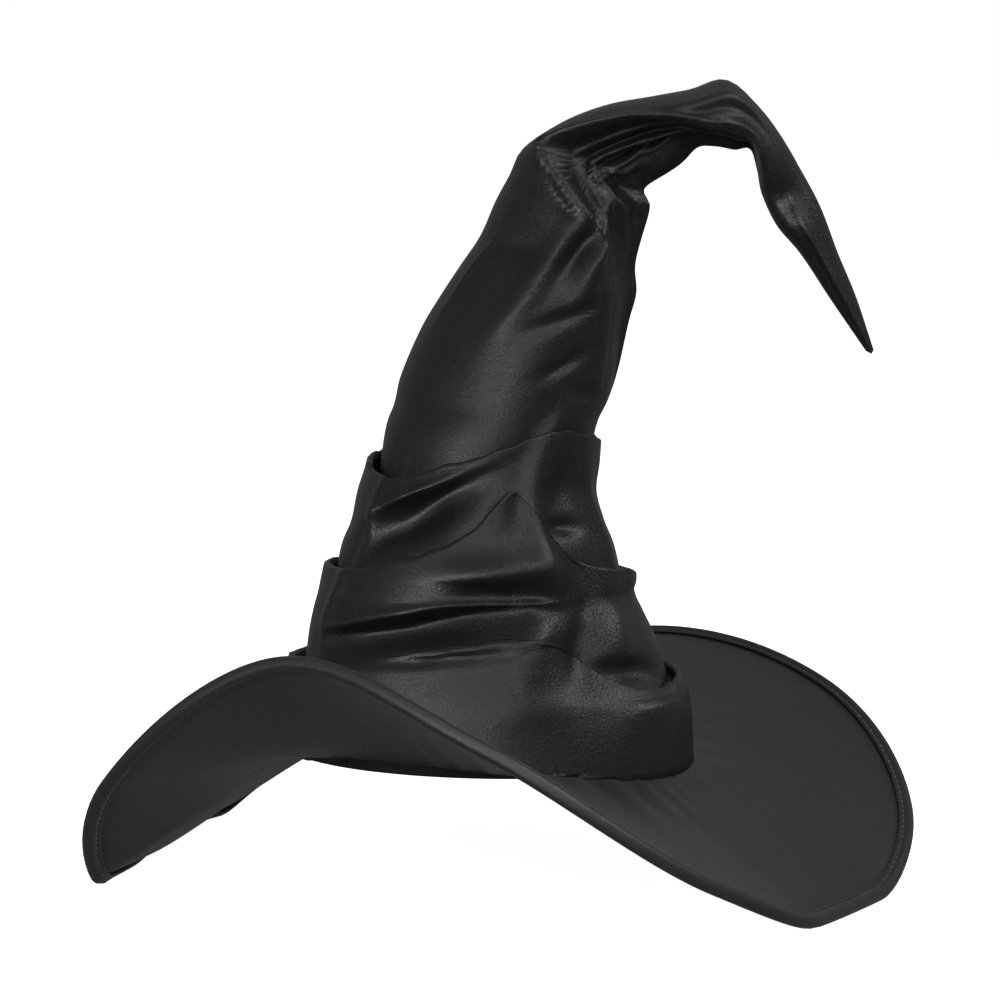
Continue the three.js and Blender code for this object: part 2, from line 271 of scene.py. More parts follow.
def thicken(piece: bpy.types.Object, thickness: float) -> None:
    """Give a sheet of cloth its thickness, inwards from the surface as laid.

    Args:
        piece: The sheet.
        thickness: Thickness in metres.
    """
    wall = piece.modifiers.new("wall", "SOLIDIFY")
    wall.thickness = thickness
    wall.offset = -1.0
    wall.use_even_offset = False


def attach(piece: bpy.types.Object, slot: str, finish: bpy.types.Material, *nodes: str) -> None:
    """Put a piece on the hat's body in place of its plain solids.

    Args:
        piece: The piece.
        slot: Material slot of the record; not used.
        finish: Its material.
        nodes: Plain solids that it stands for.
    """
    piece.data.materials.append(finish)
    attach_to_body(piece, "root")
    if nodes:
        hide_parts(*nodes)
    LOG.info("%s: %d faces", piece.name, len(piece.data.polygons))


@dataclass(frozen=True)
class Pucker:
    """A patch of small puckers in the brim.

    Attributes:
        toward: Its direction from the crown, in degrees.
        wide: Its reach round the brim, in degrees.
        across: Its place across the brim, as a share of the width.
        long: Its reach across, as a share of the width.
        count: Puckers in a whole turn.
        lift: Their height in metres.
    """

    toward: float
    wide: float
    across: float
    long: float
    count: int
    lift: float


@dataclass(frozen=True)
class Fold:
    """A fold or dent of the crown.

    Attributes:
        name: What it is.
        at: Its place along the crown's middle, as a share of the height.
        around: Its place round the crown, in degrees from the bend's side.
        long: Its reach along the middle, as a share of the height.
        wide: Its reach round the crown, in degrees.
        out: How far it pushes the cloth out, in millimetres.
        slant: Degrees that it turns over its own length.
        rise: Share of the height that it climbs over its own width.
        crisp: How sharply it ends along its length, 2 for a bell.
    """

    name: str
    at: float
    around: float
    long: float
    wide: float
    out: float
    slant: float = 0.0
    rise: float = 0.0
    crisp: float = 2.0


@dataclass(frozen=True)
class MouthRow:
    """The open fold under the bend at one share of height: its edge in degrees, its depth in millimetres."""

    at: float
    edge: float
    depth: float


@dataclass(frozen=True)
class Lamp:
    """A softbox: metres to the picture's right, towards the camera and over the target, size, and watts."""

    name: str
    side: float
    toward: float
    height: float
    size: tuple[float, float]
    power: float


@dataclass
class Brim:
    """The saddle-shaped brim: two plies and the binding round their edge. Lengths in metres."""

    opening_length: float = 0.200
    opening_width: float = 0.172
    opening_height: float = 0.0605
    opening_saddle: float = 0.0055
    width: float = 0.1125
    ply_thickness: float = 0.001
    ply_gap: float = 0.0003
    binding_width: float = 0.008
    binding_wall: float = 0.0012
    binding_round: float = 0.0017
    clearance: float = 0.0003
    rest_softness: float = 0.0015
    rest_sink: float = 0.00085
    floor_gap: float = 0.00005
    columns: int = 240
    valley: float = 0.0008
    stitch_length: float = 0.0032
    stitch_pitch: float = 0.0044
    stitch_radius: float = 0.00042
    stitch_flatness: float = 0.8
    stitch_sink: float = 0.0005
    valley_width: float = 0.0022
    pucker_start: float = 0.006
    pucker_fade: float = 0.15
    pucker_sway: float = 3
    pucker_sways: int = 5
    ply_rows: int = 44
    ply_edge_rows: int = 5
    measuring_steps: int = 2881
    probe_angle: float = 0.01
    slot_inside: float = 0.003
    band_swell: float = 0.0004
    edge_turns: tuple = (60, 30)
    edge_squareness: float = 0.8
    # Rolls of the folded band: distance from its inner edge, height over its own lift
    band_rolls: tuple = (
        (0.0001, -0.0004), (0.0006, 0.0002), (0.0016, 0.0001), (0.0023, -0.0007), (0.0032, 0.0003),
        (0.0044, 0.0009),
    )
    # Slopes in degrees at even steps round the opening
    slopes: tuple = (-32, -15, 6, 14, 4, -16, -39, -44, -1.5, 32, 15.5, -15.5)
    puckers: tuple[Pucker, ...] = (
        Pucker(toward=330, wide=30, across=0.04, long=0.26, count=44, lift=0.0011),
        Pucker(toward=296, wide=18, across=0.2, long=0.3, count=34, lift=0.0007),
        Pucker(toward=205, wide=20, across=0.84, long=0.18, count=40, lift=0.0006),
        Pucker(toward=235, wide=22, across=0.0, long=0.25, count=40, lift=0.0008),
        Pucker(toward=90, wide=60, across=0.0, long=0.2, count=42, lift=0.0006),
    )

    def __post_init__(self) -> None:
        """Work out the places that follow from the sizes."""
        self.binding_lift = self.ply_gap / 2 + self.ply_thickness + self.clearance + self.binding_wall
        self.binding_start = self.width - self.binding_width
        self.ply_end = self.width - self.binding_wall - self.binding_round - self.clearance
        # The stitches lie in the band's deepest roll
        self.seam = min(self.band_rolls, key=lambda roll: roll[1])[0]
        self.shift = np.zeros(3)

    def slope(self, angle: np.ndarray) -> np.ndarray:
        """Slope of the brim at angles round the opening.

        Args:
            angle: Angles round the opening, in radians.

        Returns:
            The slopes in radians, upwards positive.
        """
        values = np.radians(np.array(self.slopes, float))
        count = len(values)
        place = (angle % (2 * math.pi)) / (2 * math.pi) * count
        index = np.floor(place).astype(int)
        pick = [values[(index + step) % count] for step in (-1, 0, 1, 2)]
        return cubic(*pick, place - index)

    def ring(self, angle: np.ndarray) -> np.ndarray:
        """Points of the opening's edge at angles round it.

        Args:
            angle: Angles round the opening, in radians.

        Returns:
            The points, before the brim's shift.
        """
        x = self.opening_length / 2 * np.cos(angle)
        y = self.opening_width / 2 * np.sin(angle)
        return np.stack([x, y, self.opening_height - self.opening_saddle * np.cos(2 * angle)], -1)

    def outward(self, angle: np.ndarray) -> np.ndarray:
        """Level directions square to the opening's edge.

        Args:
            angle: Angles round the opening, in radians.

        Returns:
            Directions of length 1.
        """
        level = (np.cos(angle) / self.opening_length, np.sin(angle) / self.opening_width, 0 * angle)
        way = np.stack(level, -1)
        return way / np.linalg.norm(way, axis=-1, keepdims=True)

    def free_point(self, angle: np.ndarray, across: np.ndarray) -> np.ndarray:
        """Middle surface before the surface it rests on presses it flat.

        Args:
            angle: Angles round the opening, in radians.
            across: Distances out from the opening's edge.

        Returns:
            The points, before the brim's shift.
        """
        slope = self.slope(angle)
        point = self.ring(angle) + self.outward(angle) * (across * np.cos(slope))[..., None]
        point[..., 2] += across * np.sin(slope)
        return point

    def settled(self, height: np.ndarray) -> np.ndarray:
        """A height that levels out softly at the floor."""
        return self.rest_softness * np.logaddexp(0, height / self.rest_softness)

    def pucker(self, angle: np.ndarray, across: np.ndarray) -> np.ndarray:
        """Height of the small puckers at a place.

        Args:
            angle: Angles round the opening, in radians.
            across: Distances out from the opening's edge.

        Returns:
            Heights in metres.
        """
        degrees = np.degrees(angle)
        height = 0 * across
        for row in self.puckers:
            near = bell(degrees, row.toward, row.wide)
            reach = np.exp(-(((across / self.width - row.across) / row.long) ** 2))
            wave = np.sin(row.count * angle + self.pucker_sway * np.sin(self.pucker_sways * angle))
            height = height + row.lift * near * reach * wave
        return height * smooth_step((self.binding_start - across) / (self.pucker_fade * self.width))

    def middle(self, angle: np.ndarray, across: np.ndarray) -> np.ndarray:
        """Middle surface of the brim, its ends lying on the floor.

        Args:
            angle: Angles round the opening, in radians.
            across: Distances out from the opening's edge.

        Returns:
            The points, before the brim's shift.
        """
        point = self.free_point(angle, across)
        edge = self.free_point(angle, 0 * across + self.width)[..., 2] - self.binding_lift
        slope = self.slope(angle) + 2 * (self.settled(edge) - edge) / self.width
        under = self.binding_lift * np.cos(slope) + self.binding_round * np.minimum(np.sin(slope), 0)
        lowest = edge + self.binding_lift - under
        point[..., 2] += (across / self.width) ** 2 * (self.settled(lowest) - self.rest_sink - lowest)
        point[..., 2] += self.pucker(angle, across) * smooth_step(across / self.pucker_start)
        return point

    def surface(self, angle: np.ndarray, across: np.ndarray, lift: np.ndarray) -> np.ndarray:
        """Points at a lift off the middle surface, square to it.

        Args:
            angle: Angles round the opening, in radians.
            across: Distances out from the opening's edge.
            lift: Distances off the middle surface, upwards.

        Returns:
            The points, in the hat's frame.
        """
        ahead = self.middle(angle + self.probe_angle, across) - self.middle(angle - self.probe_angle, across)
        away = self.middle(angle, across + MM) - self.middle(angle, across - MM)
        normal = np.cross(away, ahead)
        normal = normal / np.linalg.norm(normal, axis=-1, keepdims=True)
        return self.middle(angle, across) + normal * np.asarray(lift)[..., None] + self.shift

    def loops(self, profile: np.ndarray) -> np.ndarray:
        """Carry a section of (across, lift) rows once round the hat.

        Args:
            profile: The section's rows.

        Returns:
            Points by row and column.
        """
        angle = TURN + np.arange(self.columns) * 2 * math.pi / self.columns
        angles, across = np.meshgrid(angle, profile[:, 0])
        lift = np.repeat(profile[:, 1:2], self.columns, axis=1)
        return self.surface(angles, across, lift)

    def binding_profile(self) -> np.ndarray:
        """Section of the folded binding.

        Returns:
            Rows of (across, lift), from one inner edge round to the other.
        """
        lift, wall = self.binding_lift, self.binding_wall
        slot = lift - wall
        slot_end = self.ply_end + self.clearance
        bend = self.width - self.binding_round
        start = self.binding_start
        upper = [(start, slot + self.clearance)]
        upper += [(start + across, lift + height) for across, height in self.band_rolls]
        upper += [(bend, lift + self.band_swell)]
        for degrees in self.edge_turns:
            turned = math.radians(degrees)
            reach, rise = self.binding_round * math.cos(turned), math.sin(turned) ** self.edge_squareness
            upper.append((bend + reach, lift * rise))
        inner = [(slot_end, slot), (slot_end - self.slot_inside, slot)]
        lower = [(across, -height) for across, height in reversed(upper)]
        inside = [(across, -height) for across, height in reversed(inner)] + inner
        return np.array([*upper, (self.width, 0.0), *lower, *inside])

    def fit_to(self, node: str) -> None:
        """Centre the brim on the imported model, whose plan is centred on its origin.

        Args:
            node: The plain solid of the binding, which reaches furthest out.
        """
        low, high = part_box(node)
        loops = self.loops(np.array([(self.width, 0.0)]))[0]
        centre = (loops.min(0) + loops.max(0)) / 2
        self.shift = np.array([(low.x + high.x) / 2 - centre[0], (low.y + high.y) / 2 - centre[1], 0.0])

    def ply(self, face: Face) -> bpy.types.Object:
        """Build one ply.

        Args:
            face: Which of the two.

        Returns:
            The piece, with its wall.
        """
        low = self.ply_gap / 2
        high = low + self.ply_thickness
        to_band = np.linspace(0.0, self.binding_start, self.ply_rows)
        under_band = np.linspace(self.binding_start, self.ply_end, self.ply_edge_rows)
        across = np.concatenate([to_band, under_band[1:]])
        dip = self.valley * np.exp(-(((across - self.binding_start) / self.valley_width) ** 2))
        outer = np.stack([across, high - dip], 1)
        inner = np.stack([across, 0 * across + low], 1)[::-1]
        profile = np.concatenate([outer, inner]) * (1, face.value)
        name = "brim_top_cloth" if face is Face.TOP else "brim_under_cloth"
        return cloth(name, self.loops(profile), Vector((0, 0, face.value)), joined_across=True)

    def binding(self) -> bpy.types.Object:
        """Build the folded binding round the edge.

        Returns:
            The piece.
        """
        points = self.loops(self.binding_profile())
        points[..., 2] = np.maximum(points[..., 2], self.floor_gap)
        piece = cloth("edge_binding_cloth", points, Vector((0, 0, 1)), joined_across=True)
        shape = bmesh.new()
        shape.from_mesh(piece.data)
        bmesh.ops.recalc_face_normals(shape, faces=shape.faces)
        shape.to_mesh(piece.data)
        shape.free()
        return piece

    def stitches(self, face: Face) -> bpy.types.Object:
        """Sew one row of stitches along the binding.

        Args:
            face: The face that the row is on.

        Returns:
            The threads as one piece.
        """
        angle = np.linspace(0, 2 * math.pi, self.measuring_steps)
        across = 0 * angle + self.binding_start + self.seam
        height = face.value * (self.binding_lift - self.stitch_sink)
        line = self.surface(angle, across, 0 * angle + height)
        run = np.concatenate([[0.0], np.cumsum(np.linalg.norm(np.diff(line, axis=0), axis=1))])
        count = int(run[-1] / self.stitch_pitch)
        shape = bmesh.new()
        for index in range(count):
            middle = run[-1] * index / count
            ends = [np.interp(middle + half * self.stitch_length / 2, run, angle) for half in (-1, 1)]
            places = self.surface(np.array(ends), across[:2], np.full(2, height))
            places[:, 2] = np.maximum(places[:, 2], self.stitch_radius + self.floor_gap)
            along = Vector(places[1] - places[0])
            turned = along.to_track_quat("X", "Z").to_matrix().to_4x4()
            long = along.length / 2 / self.stitch_radius
            stretch = Matrix.Diagonal((long, 1.0, self.stitch_flatness, 1.0))
            place = Matrix.Translation(Vector((places[0] + places[1]) / 2)) @ turned @ stretch
            bmesh.ops.create_icosphere(shape, subdivisions=1, radius=self.stitch_radius, matrix=place)
        return finished(f"binding_stitches_{face.name.lower()}", shape)


@dataclass
class Crown:
    """The tall crown: four tiers between three tucks, a bend and a falling tip. Lengths in metres."""

    brim: Brim
    height: float = 0.320
    reach: float = 0.185
    wall: float = 0.0008
    foot: float = 0.0006
    tuck_depth: float = 0.012
    tuck_layer: float = 0.0019
    tuck_fade: float = 0.030
    seat_fade: float = 0.060
    foot_gap: float = 0.0012
    deepest_share: float = 0.8
    edge_softening: tuple = (-6, -4, -2, 0, 2, 4, 6)
    # Unevenness of a tuck's edge: height in millimetres, waves in a turn, turn with each tuck
    edge_wobble: tuple = ((0.35, 17, 1), (0.25, 29, 0))
    # Layers of a tuck below its edge: share of its depth, share inwards, rise in metres
    tuck_layers: tuple = ((0.0, 0.22, 0.0006), (0.0, 0.4, 0.0002), (0.4, 0.5, 0.0), (1.0, 0.5, 0.0))
    lost_fade: float = 12.0
    lost_share: float = 0.92
    # The open fold under the bend: degrees of its wall, far end and fade there, rim and facets
    mouth_wall: float = 8.0
    mouth_end: float = 385
    mouth_end_fade: float = 50.0
    rim_share: float = 0.28
    rim_before: float = 5.0
    rim_wide: float = 6.0
    facet_share: float = 0.22
    facet_count: float = 9.0
    pleat_height: float = 0.0009
    pleat_at: float = 0.95
    pleat_long: float = 0.06
    pleat_around: float = 330
    pleat_wide: float = 36
    pleat_count: float = 22
    pleat_twist: float = 9
    columns: int = 176
    tier_rows: tuple = (30, 54, 46, 118)

    # Sections by tier: up of height, along of reach, half of half the opening, deep of half, lean
    sections: tuple = (
        ((-0.03, 0, 0.965, 0.92, 0), (0.08, -0.003, 0.945, 0.93, 0), (0.14, -0.023, 0.907, 0.94, 0),
         (0.24, -0.023, 0.87, 0.95, 0)),
        ((0.1, -0.005, 0.88, 0.95, 0), (0.16, -0.013, 0.838, 0.95, 0), (0.205, -0.024, 0.79, 0.96, 0),
         (0.235, -0.028, 0.757, 0.96, 0), (0.272, -0.02, 0.747, 0.97, 0), (0.42, -0.02, 0.64, 1.05, 0)),
        ((0.2, -0.02, 0.71, 0.97, 0), (0.295, -0.024, 0.659, 1, 0), (0.34, -0.024, 0.605, 1.05, 0),
         (0.385, -0.026, 0.571, 1.08, 0), (0.43, -0.01, 0.557, 1.08, 0), (0.5, 0.004, 0.545, 1.08, 0)),
        ((0.38, -0.008, 0.51, 1.05, 0), (0.475, 0.011, 0.506, 1.04, 0), (0.519, 0.038, 0.511, 1, 1),
         (0.564, 0.059, 0.518, 0.96, 2), (0.631, 0.097, 0.495, 0.96, 2), (0.676, 0.131, 0.467, 0.98, 1),
         (0.72, 0.156, 0.415, 1.02, 0), (0.764, 0.191, 0.385, 1.03, 0), (0.808, 0.222, 0.375, 1, -2),
         (0.834, 0.242, 0.347, 1, -10), (0.862, 0.256, 0.317, 1.05, -18), (0.894, 0.33, 0.28, 1.2, -25),
         (0.915, 0.405, 0.225, 1.5, -36), (0.931, 0.48, 0.162, 2, -48), (0.937, 0.546, 0.144, 2.2, -68),
         (0.9415, 0.62, 0.167, 1.7, -82), (0.924, 0.68, 0.106, 2, -98), (0.888, 0.718, 0.099, 2, -122),
         (0.845, 0.75, 0.11, 1.6, -142), (0.795, 0.795, 0.113, 1.35, -153), (0.738, 0.851, 0.085, 1.3, -172),
         (0.67, 0.915, 0.06, 1.2, -172), (0.588, 0.988, 0.016, 1.1, -172)),
    )

    # Each tuck's folded edge: height above the opening in millimetres by degrees from the bend side
    tucks: tuple = (
        {0: 37, 60: 40, 120: 43, 180: 44, 205: 45, 221: 47, 243: 54, 271: 61, 285: 62, 297: 59, 308: 44,
         322: 36, 340: 34},
        {0: 85, 60: 85, 120: 87, 180: 89, 200: 89, 218: 91, 235: 97, 253: 102, 261: 106, 273: 115, 282: 126,
         290: 134, 300: 110, 313: 93, 338: 89},
        {0: 146, 60: 146, 120: 143, 180: 139, 200: 135, 217: 133, 232: 134, 242: 138, 271: 145, 295: 153,
         305: 155, 346: 149},
    )

    folds: tuple[Fold, ...] = (
        Fold("front ridge, lowest", at=0.06, around=278, long=0.09, wide=12, out=5, slant=3),
        Fold("front ridge, low", at=0.185, around=288, long=0.06, wide=7, out=6, slant=5),
        Fold("front ridge, middle", at=0.36, around=296, long=0.07, wide=6, out=6),
        Fold("front ridge, high", at=0.47, around=301, long=0.05, wide=7, out=4, slant=4),
        Fold("front swell, body", at=0.62, around=276, long=0.12, wide=22, out=4, slant=-8),
        Fold("crescent, middle tuck", at=0.2, around=246, long=0.024, wide=34, rise=0.028, out=-12,
             crisp=2.6),
        Fold("rim over the crescent", at=0.228, around=248, long=0.011, wide=30, rise=0.027, out=3),
        Fold("fold under the crescent", at=0.176, around=258, long=0.008, wide=24, rise=0.014, out=2.5),
        Fold("bright lens", at=0.297, around=281, long=0.024, wide=20, rise=0.004, out=8),
        Fold("slit under the lens", at=0.262, around=279, long=0.009, wide=17, rise=-0.002, out=-5.5,
             crisp=2.6),
        Fold("lip under the slit", at=0.247, around=284, long=0.008, wide=16, rise=0.004, out=3.5),
        Fold("slit over the low tuck", at=0.168, around=256, long=0.006, wide=18, rise=0.008, out=-4,
             crisp=2.4),
        Fold("hollow, high tuck", at=0.36, around=240, long=0.032, wide=26, rise=0.042, out=-11, crisp=2.6),
        Fold("rim over the hollow", at=0.4, around=240, long=0.01, wide=26, rise=0.035, out=3),
        Fold("hollow right of the ridge", at=0.41, around=316, long=0.045, wide=10, out=-5),
        Fold("knot right of the ridge", at=0.345, around=313, long=0.011, wide=9, out=-5),
        Fold("right side ridge", at=0.35, around=338, long=0.07, wide=6, out=3, slant=-4),
        Fold("fold beside the low ridge", at=0.17, around=305, long=0.055, wide=6, out=-6, slant=7),
        Fold("cheek right of the fold", at=0.19, around=322, long=0.05, wide=9, out=4, slant=4),
        Fold("pocket by the right end", at=0.135, around=324, long=0.016, wide=16, rise=-0.006, out=-6),
        Fold("swell at the right end", at=0.06, around=322, long=0.05, wide=16, out=5),
        Fold("base dip beside the ridge", at=0.05, around=300, long=0.07, wide=9, out=-4, slant=4),
        Fold("left corner crease", at=0.34, around=214, long=0.09, wide=4, out=2.6, slant=4),
        Fold("left corner crease, low", at=0.21, around=207, long=0.06, wide=4, out=2, slant=3),
        Fold("body loop, rim", at=0.75, around=300, long=0.07, wide=6, out=3.5, slant=8),
        Fold("body loop, hollow", at=0.765, around=286, long=0.045, wide=8, out=-5, slant=6),
        Fold("body patch", at=0.72, around=264, long=0.09, wide=10, out=4, slant=10),
        Fold("body dip, left", at=0.765, around=240, long=0.018, wide=20, rise=-0.012, out=-3.5),
        Fold("body wrinkle, upper", at=0.835, around=256, long=0.01, wide=18, rise=-0.02, out=-3.5),
        Fold("body wrinkle, middle", at=0.655, around=288, long=0.012, wide=16, rise=0.014, out=-3.5),
        Fold("body wrinkle, low", at=0.585, around=297, long=0.012, wide=12, rise=0.014, out=-3.5),
        Fold("body wrinkle, lowest", at=0.54, around=318, long=0.01, wide=12, rise=-0.008, out=-3),
        Fold("body crease, left", at=0.73, around=212, long=0.06, wide=4, out=2, slant=4),
        Fold("bend mouth, far half", at=0.875, around=20, long=0.05, wide=30, out=-5),
        Fold("groove of the arch", at=1.1, around=258, long=0.07, wide=9, out=-1.8),
        Fold("upper ridge of the arch", at=1.11, around=238, long=0.07, wide=12, out=2.8),
        Fold("lobe under the arch", at=1.17, around=305, long=0.035, wide=26, out=4),
        Fold("pinch at the arch end", at=1.27, around=280, long=0.03, wide=40, out=-5),
        Fold("ridge down the tip", at=1.42, around=270, long=0.13, wide=14, out=3),
        Fold("back seam", at=0.4, around=90, long=0.5, wide=2.4, out=-0.9),
    )

    mouth: tuple[MouthRow, ...] = (
        MouthRow(at=0.52, edge=330, depth=0),
        MouthRow(at=0.62, edge=324, depth=3.5),
        MouthRow(at=0.7, edge=315, depth=5),
        MouthRow(at=0.76, edge=306, depth=6.5),
        MouthRow(at=0.82, edge=284, depth=11),
        MouthRow(at=0.87, edge=254, depth=16),
        MouthRow(at=0.905, edge=214, depth=18),
        MouthRow(at=0.95, edge=230, depth=18),
        MouthRow(at=1.0, edge=242, depth=16),
        MouthRow(at=1.04, edge=262, depth=13),
        MouthRow(at=1.08, edge=286, depth=9),
        MouthRow(at=1.15, edge=296, depth=4),
        MouthRow(at=1.2, edge=300, depth=0),
    )

    # Where a tuck dies out in the folds of the front: tuck, middle and reach in degrees
    lost_edges: tuple = ((0, 312, 20), (1, 302, 11))

    def __post_init__(self) -> None:
        """Turn the shares of each tier's sections into metres, with the place of each along the middle."""
        self.tiers = []
        for rows in self.sections:
            table = np.array(rows, float)
            up, along = table[:, 0] * self.height, table[:, 1] * self.reach
            half = table[:, 2] * self.brim.opening_length / 2
            steps = np.hypot(np.diff(along), np.diff(up))
            place = up[0] + np.concatenate([[0.0], np.cumsum(steps)])
            self.tiers.append(np.stack([place, along, up, half, half * table[:, 3], np.radians(table[:, 4])]))

    def section_at(self, tier: int, place: np.ndarray) -> np.ndarray:
        """Sizes of a tier's section at places along it.

        Args:
            tier: Number of the tier, from the opening up.
            place: Distances along the crown's middle.

        Returns:
            Rows of along, up, half, deep and lean.
        """
        table = self.tiers[tier]
        last = table.shape[1] - 1
        index = np.clip(np.searchsorted(table[0], place, side="right") - 1, 0, last - 1)
        share = (place - table[0][index]) / (table[0][index + 1] - table[0][index])
        picked = [table[1:, np.clip(index + step, 0, last)] for step in (-1, 0, 1, 2)]
        return cubic(*picked, share)

    def section_point(self, section: np.ndarray, angle: np.ndarray) -> np.ndarray:
        """Points of sections at angles from the bend's side.

        Args:
            section: Rows of along, up, half, deep and lean.
            angle: Angles from the bend's side, in radians.

        Returns:
            The points, before the brim's shift.
        """
        along, up, half, deep, lean = section
        across, away = half * np.cos(angle), deep * np.sin(angle)
        x = along + across * np.cos(lean)
        z = self.brim.opening_height + up + across * np.sin(lean)
        turned_x = x * math.cos(TURN) - away * math.sin(TURN)
        turned_y = x * math.sin(TURN) + away * math.cos(TURN)
        return np.stack([turned_x, turned_y, z], -1)

    def section_centre(self, section: np.ndarray) -> np.ndarray:
        """Middle points of sections.

        Args:
            section: Rows of along, up, half, deep and lean.

        Returns:
            The points, before the brim's shift.
        """
        flat = section.copy()
        flat[2:4] = 0
        return self.section_point(flat, 0 * section[0])

    def tuck_edge(self, tuck: int, angle: np.ndarray) -> np.ndarray:
        """Height of a tuck's folded edge above the opening, softened between the table's angles.

        Args:
            tuck: Number of the tuck, from the opening up.
            angle: Angles from the bend's side, in radians.

        Returns:
            Heights in metres.
        """
        heights = self.tucks[tuck]
        degrees = np.degrees(angle)
        table = (list(heights), list(heights.values()))
        nearby = [np.interp(degrees + turn, *table, period=360) for turn in self.edge_softening]
        wobble = sum(high * np.sin(waves * angle + turn * tuck) for high, waves, turn in self.edge_wobble)
        return (np.mean(nearby, axis=0) + wobble) * MM

    def presence(self, tuck: int, angle: np.ndarray) -> np.ndarray:
        """How much of a tuck there is at angles round the crown.

        Args:
            tuck: Number of the tuck, from the opening up.
            angle: Angles from the bend's side, in radians.

        Returns:
            A share from nearly 0, where the tuck dies out, to 1.
        """
        lost = 0 * angle
        for which, middle, reach in self.lost_edges:
            if which == tuck:
                apart = np.abs(np.degrees(angle) - middle)
                lost = lost + 1 - smooth_step((apart - reach) / self.lost_fade)
        return 1 - self.lost_share * lost

    def fold_push(self, angle: np.ndarray, place: np.ndarray) -> np.ndarray:
        """How far the folds push the cloth out at a place.

        Args:
            angle: Angles from the bend's side, in radians.
            place: Distances along the crown's middle.

        Returns:
            Distances outwards, in metres.
        """
        share, degrees = place / self.height, np.degrees(angle)
        push = 0 * place
        for fold in self.folds:
            apart = (degrees - fold.around + 180) % 360 - 180
            climb = fold.rise * apart / fold.wide
            up = (share - fold.at - climb) / fold.long
            turned = np.abs(apart - fold.slant * up) / fold.wide
            push = push + fold.out * MM * np.exp(-np.abs(up) ** fold.crisp - turned**2)
        return push

    def bend_mouth(self, angle: np.ndarray, place: np.ndarray) -> np.ndarray:
        """Recess of the open fold under the bend, behind the edge of the body and the arch's lip.

        Args:
            angle: Angles from the bend's side, in radians.
            place: Distances along the crown's middle.

        Returns:
            Distances outwards, in metres.
        """
        share, degrees = place / self.height, np.degrees(angle)
        along = [row.at for row in self.mouth]
        edge = np.interp(share, along, [row.edge for row in self.mouth])
        depth = np.interp(share, along, [row.depth for row in self.mouth], left=0.0, right=0.0)
        past = degrees - edge
        far_end = smooth_step((self.mouth_end - degrees) / self.mouth_end_fade)
        inside = smooth_step(past / self.mouth_wall) * far_end
        rim = self.rim_share * np.exp(-(((past + self.rim_before) / self.rim_wide) ** 2))
        facets = self.facet_share * np.sin(np.radians(past) * self.facet_count) * inside
        return depth * MM * (rim + facets - inside)

    def pleats(self, angle: np.ndarray, place: np.ndarray) -> np.ndarray:
        """Fine pleats that fan out inside the bend.

        Args:
            angle: Angles from the bend's side, in radians.
            place: Distances along the crown's middle.

        Returns:
            Distances outwards, in metres.
        """
        share, degrees = place / self.height, np.degrees(angle)
        near = np.exp(-(((share - self.pleat_at) / self.pleat_long) ** 2))
        window = near * bell(degrees, self.pleat_around, self.pleat_wide)
        wave = np.sin(np.radians(degrees) * self.pleat_count + self.pleat_twist * share)
        return self.pleat_height * window * wave

    def tuck_push(self, tier: int, angle: np.ndarray, place: np.ndarray) -> np.ndarray:
        """Push inwards where a tier starts inside the one below, so that the tuck's layers clear.

        Args:
            tier: Number of the tier, from the opening up.
            angle: Angles from the bend's side, in radians.
            place: Distances along the crown's middle.

        Returns:
            Distances inwards, in metres.
        """
        if tier == 0:
            return 0 * place
        edge = self.tuck_edge(tier - 1, angle)
        outer = self.section_point(self.section_at(tier - 1, edge), angle)
        section = self.section_at(tier, edge)
        inner, centre = self.section_point(section, angle), self.section_centre(section)
        step = np.linalg.norm(outer - centre, axis=-1) - np.linalg.norm(inner - centre, axis=-1)
        needed = np.maximum(0, 2 * self.tuck_layer - step) * self.presence(tier - 1, angle)
        return needed * (1 - smooth_step((place - edge) / self.tuck_fade))

    def tier_points(self, tier: int, angle: np.ndarray, place: np.ndarray) -> np.ndarray:
        """Points of the cloth on one tier.

        Args:
            tier: Number of the tier, from the opening up.
            angle: Angles from the bend's side, in radians.
            place: Distances along the crown's middle.

        Returns:
            The points, before the brim's shift.
        """
        section = self.section_at(tier, place)
        point = self.section_point(section, angle)
        outward = point - self.section_centre(section)
        outward = outward / np.maximum(np.linalg.norm(outward, axis=-1, keepdims=True), 1e-9)
        push = self.fold_push(angle, place) + self.pleats(angle, place) + self.bend_mouth(angle, place)
        push = push - self.tuck_push(tier, angle, place)
        room = np.linalg.norm(point - self.section_centre(section), axis=-1)
        push = np.maximum(push, -self.deepest_share * room) * smooth_step(place / self.tuck_fade)
        point = point + outward * push[..., None]
        if tier < len(self.tier_rows) - 1:
            near = smooth_step(1 + (place - self.tuck_edge(tier, angle)) / self.tuck_fade)
            near = (near * (1 - self.presence(tier, angle)))[..., None]
            if near.max() > 0:
                point = point * (1 - near) + self.tier_points(tier + 1, angle, place) * near
        if tier > 0:
            return point
        ring = angle + TURN
        seat = self.brim.ring(ring) + self.brim.outward(ring) * (self.foot + self.foot_gap)
        seat[..., 2] = point[..., 2]
        blend = smooth_step(place / self.seat_fade)[..., None]
        return seat * (1 - blend) + point * blend

